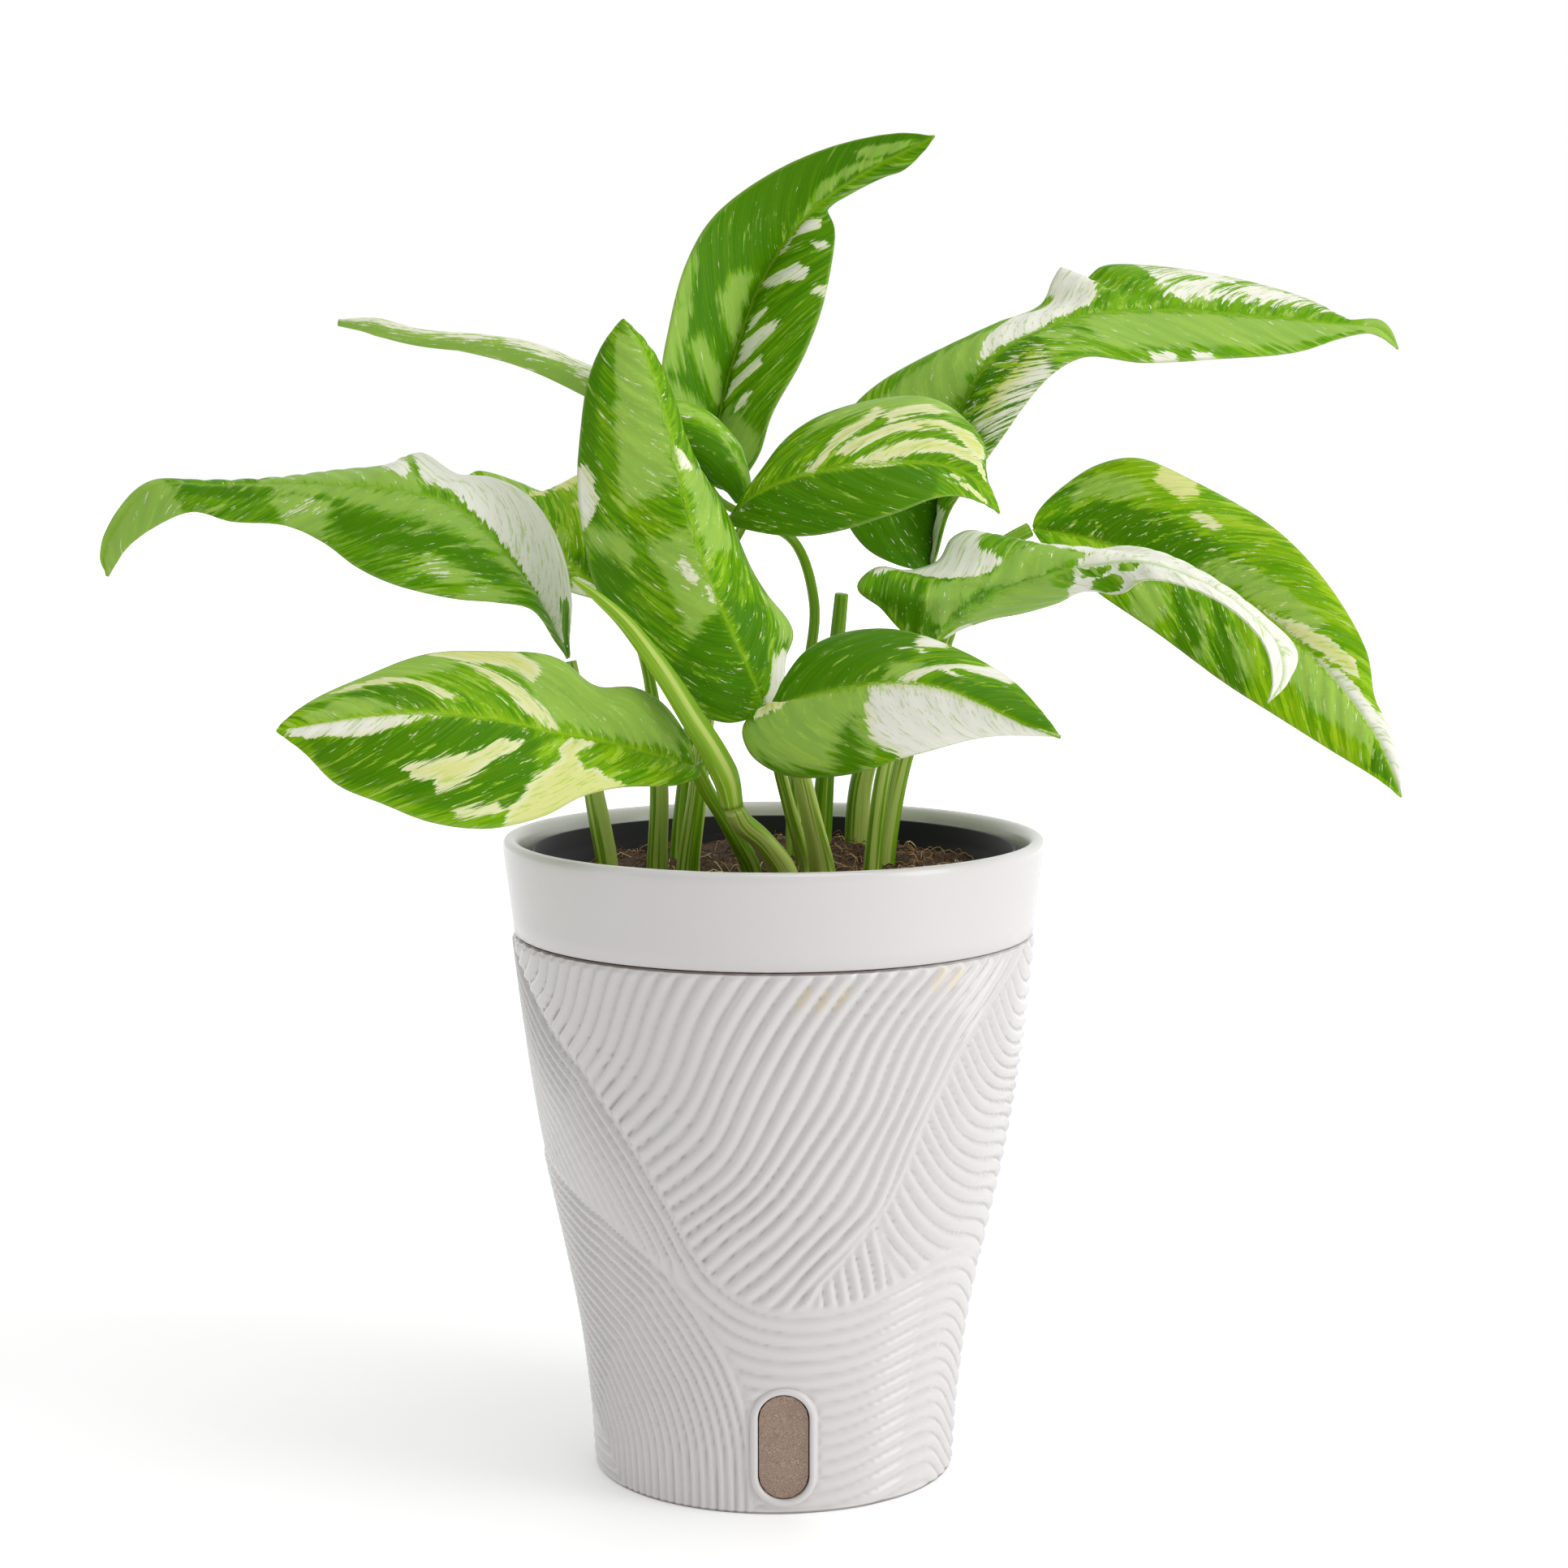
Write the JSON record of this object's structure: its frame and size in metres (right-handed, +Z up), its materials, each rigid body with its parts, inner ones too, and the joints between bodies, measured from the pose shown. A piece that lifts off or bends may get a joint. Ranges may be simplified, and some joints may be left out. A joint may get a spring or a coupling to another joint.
{
  "type": "potted variegated monstera",
  "caption": "Young variegated monstera with long pointed marbled leaves in a glossy wave-ribbed round self-watering pot with an upright water window.",
  "frame": {"origin": "middle of the pot's flat underside", "axes": "+Z up along the pot's axis, -Y towards the side with the water window, +X to the right seen from that side"},
  "size_m": [0.416, 0.1796, 0.4202],
  "materials": {
    "pot": "gloss",
    "window": "gloss",
    "nursery": "satin",
    "soil": "matte",
    "wick": "matte",
    "foliage": "satin",
    "stalk": "satin",
    "pale_growth": "satin"
  },
  "bodies": {
    "root": {"outer_pot": "pot", "liner": "pot", "window_pane": "window", "nursery_pot": "nursery", "soil": "soil", "wick": "wick", "leaf_arched": "foliage", "leaf_behind": "foliage", "leaf_front": "foliage", "leaf_left": "foliage", "leaf_low_front": "foliage", "leaf_low_left": "foliage", "leaf_right": "foliage", "leaf_rolled": "foliage", "leaf_striped": "foliage", "leaf_top": "foliage", "leaf_upper_right": "foliage", "stalk_arched": "stalk", "stalk_behind": "stalk", "stalk_cut": "stalk", "stalk_front": "stalk", "stalk_left": "stalk", "stalk_low_left": "stalk", "stalk_right": "stalk", "stalk_rolled": "stalk", "stalk_striped": "stalk", "stalk_top": "stalk", "stalk_upper_right": "stalk", "leaf_spear": "pale_growth", "stalk_spear": "pale_growth", "stalk_low_front": "pale_growth"}
  },
  "joints": []
}
